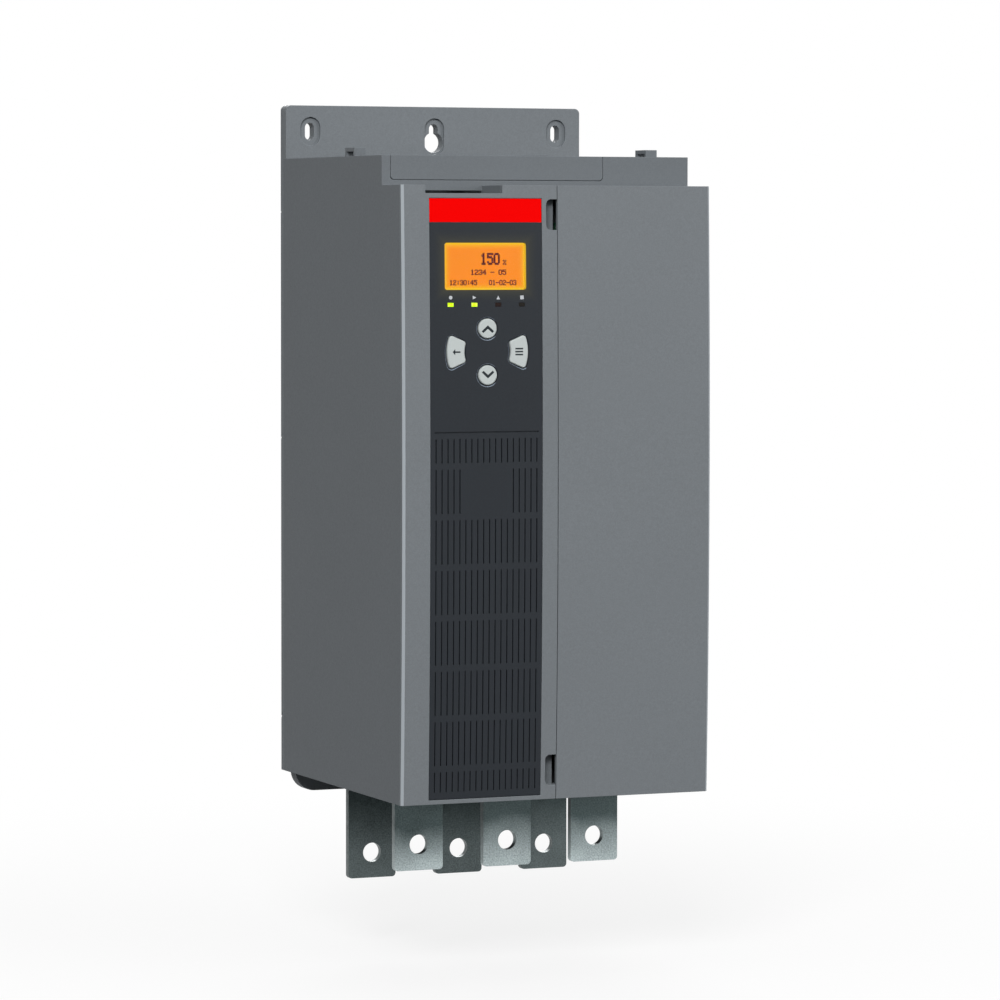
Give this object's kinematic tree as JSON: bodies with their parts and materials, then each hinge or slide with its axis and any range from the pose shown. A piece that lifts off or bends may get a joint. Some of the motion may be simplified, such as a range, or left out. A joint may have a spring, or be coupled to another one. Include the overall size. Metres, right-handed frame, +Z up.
{
  "type": "soft starter",
  "caption": "Wall-mounted motor soft starter: tall grey housing with keypad and display, slotted grille, hinged terminal door and flat terminal bars below.",
  "frame": {"origin": "on the wall plane, in the middle of the width, level with the bottom of the housing", "axes": "+X right and +Z up as seen from the front; +Y back into the wall"},
  "size_m": [0.216, 0.2253, 0.5206],
  "materials": {
    "housing_plastic": "fine moulded grain, mid grey",
    "insert_plastic": "dark grey moulding",
    "red_band": "plain red film",
    "screen_glass": "clear window",
    "screen_cell": "amber backlit cell",
    "key_plastic": "pale satin",
    "lens_plastic": "tinted lens",
    "circuit_board": "green solder mask",
    "terminal_plastic": "green moulding",
    "black_plastic": "black moulding",
    "panel_plastic": "dark grey moulding",
    "silicone": "soft matt",
    "sink_metal": "extruded, natural",
    "bar_metal": "tin-plated, speckled",
    "screw_metal": "zinc-plated",
    "tray_metal": "galvanised sheet",
    "contact_metal": "bright"
  },
  "bodies": {
    "starter": {"rear_chassis": "housing_plastic", "main_housing": "housing_plastic", "top_cover": "housing_plastic", "front_cover": "housing_plastic", "front_insert": "insert_plastic", "header_band": "red_band", "display_window": "screen_glass", "display_module": "screen_cell", "key_mat": "silicone", "keypad_board": "circuit_board", "inner_panel": "panel_plastic", "control_board": "circuit_board", "board_screws": "screw_metal", "gate_board": "circuit_board", "heat_sink": "sink_metal", "chassis_screws": "screw_metal", "module_terminal_bolts": "screw_metal", "bar_guide": "black_plastic", "fan_tray": "tray_metal", "fan_screws": "screw_metal", "door_hinge_pins": "screw_metal", "indicator_lens_1": "lens_plastic", "control_terminals_1": "terminal_plastic", "indicator_lens_2": "lens_plastic", "control_terminals_2": "terminal_plastic", "indicator_lens_3": "lens_plastic", "control_terminals_3": "terminal_plastic", "indicator_lens_4": "lens_plastic", "control_terminals_4": "terminal_plastic", "thyristor_module_1": "black_plastic", "line_bar_1": "bar_metal", "load_bar_1": "bar_metal", "current_transformer_1": "black_plastic", "bypass_case_1": "black_plastic", "bypass_contacts_1": "contact_metal", "thyristor_module_2": "black_plastic", "line_bar_2": "bar_metal", "load_bar_2": "bar_metal", "current_transformer_2": "black_plastic", "bypass_case_2": "black_plastic", "bypass_contacts_2": "contact_metal", "thyristor_module_3": "black_plastic", "line_bar_3": "bar_metal", "load_bar_3": "bar_metal", "current_transformer_3": "black_plastic", "bypass_case_3": "black_plastic", "bypass_contacts_3": "contact_metal", "fan_frame_1": "black_plastic", "fan_frame_2": "black_plastic"},
    "door": {"terminal_door": "housing_plastic"},
    "up_key": {"key_up": "key_plastic"},
    "down_key": {"key_down": "key_plastic"},
    "left_key": {"key_left": "key_plastic"},
    "right_key": {"key_right": "key_plastic"},
    "rotor_1": {"fan_rotor_1": "black_plastic"},
    "rotor_2": {"fan_rotor_2": "black_plastic"},
    "bypass_slider_1": {"bypass_carrier_1": "black_plastic"},
    "bypass_slider_2": {"bypass_carrier_2": "black_plastic"},
    "bypass_slider_3": {"bypass_carrier_3": "black_plastic"}
  },
  "joints": [
    {"name": "door_hinge", "type": "hinge", "parent": "starter", "child": "door", "pos_m": [0.1055, -0.212, 0.19795], "axis": [0, 0, 1], "range_deg": [0, 100]},
    {"name": "up_key_press", "type": "slide", "parent": "starter", "child": "up_key", "axis": [0, 1, 0], "range_m": [0, 0.001], "stiffness_N_per_m": 500, "springref_m": -0.0004},
    {"name": "down_key_press", "type": "slide", "parent": "starter", "child": "down_key", "axis": [0, 1, 0], "range_m": [0, 0.001], "stiffness_N_per_m": 500, "springref_m": -0.0004},
    {"name": "left_key_press", "type": "slide", "parent": "starter", "child": "left_key", "axis": [0, 1, 0], "range_m": [0, 0.001], "stiffness_N_per_m": 500, "springref_m": -0.0004},
    {"name": "right_key_press", "type": "slide", "parent": "starter", "child": "right_key", "axis": [0, 1, 0], "range_m": [0, 0.001], "stiffness_N_per_m": 500, "springref_m": -0.0004},
    {"name": "fan_1_spin", "type": "hinge", "parent": "starter", "child": "rotor_1", "pos_m": [-0.048, -0.054, 0.355], "axis": [0, 0, 1], "continuous": true},
    {"name": "fan_2_spin", "type": "hinge", "parent": "starter", "child": "rotor_2", "pos_m": [0.048, -0.054, 0.355], "axis": [0, 0, 1], "continuous": true},
    {"name": "bypass_1_close", "type": "slide", "parent": "starter", "child": "bypass_slider_1", "axis": [0, 0, 1], "range_m": [0, 0.003], "stiffness_N_per_m": 300, "springref_m": -0.002},
    {"name": "bypass_2_close", "type": "slide", "parent": "starter", "child": "bypass_slider_2", "axis": [0, 0, 1], "range_m": [0, 0.003], "stiffness_N_per_m": 300, "springref_m": -0.002},
    {"name": "bypass_3_close", "type": "slide", "parent": "starter", "child": "bypass_slider_3", "axis": [0, 0, 1], "range_m": [0, 0.003], "stiffness_N_per_m": 300, "springref_m": -0.002}
  ],
  "couplings": [
    {"joint": "bypass_2_close", "follows": "bypass_1_close", "ratio": 1},
    {"joint": "bypass_3_close", "follows": "bypass_1_close", "ratio": 1}
  ]
}
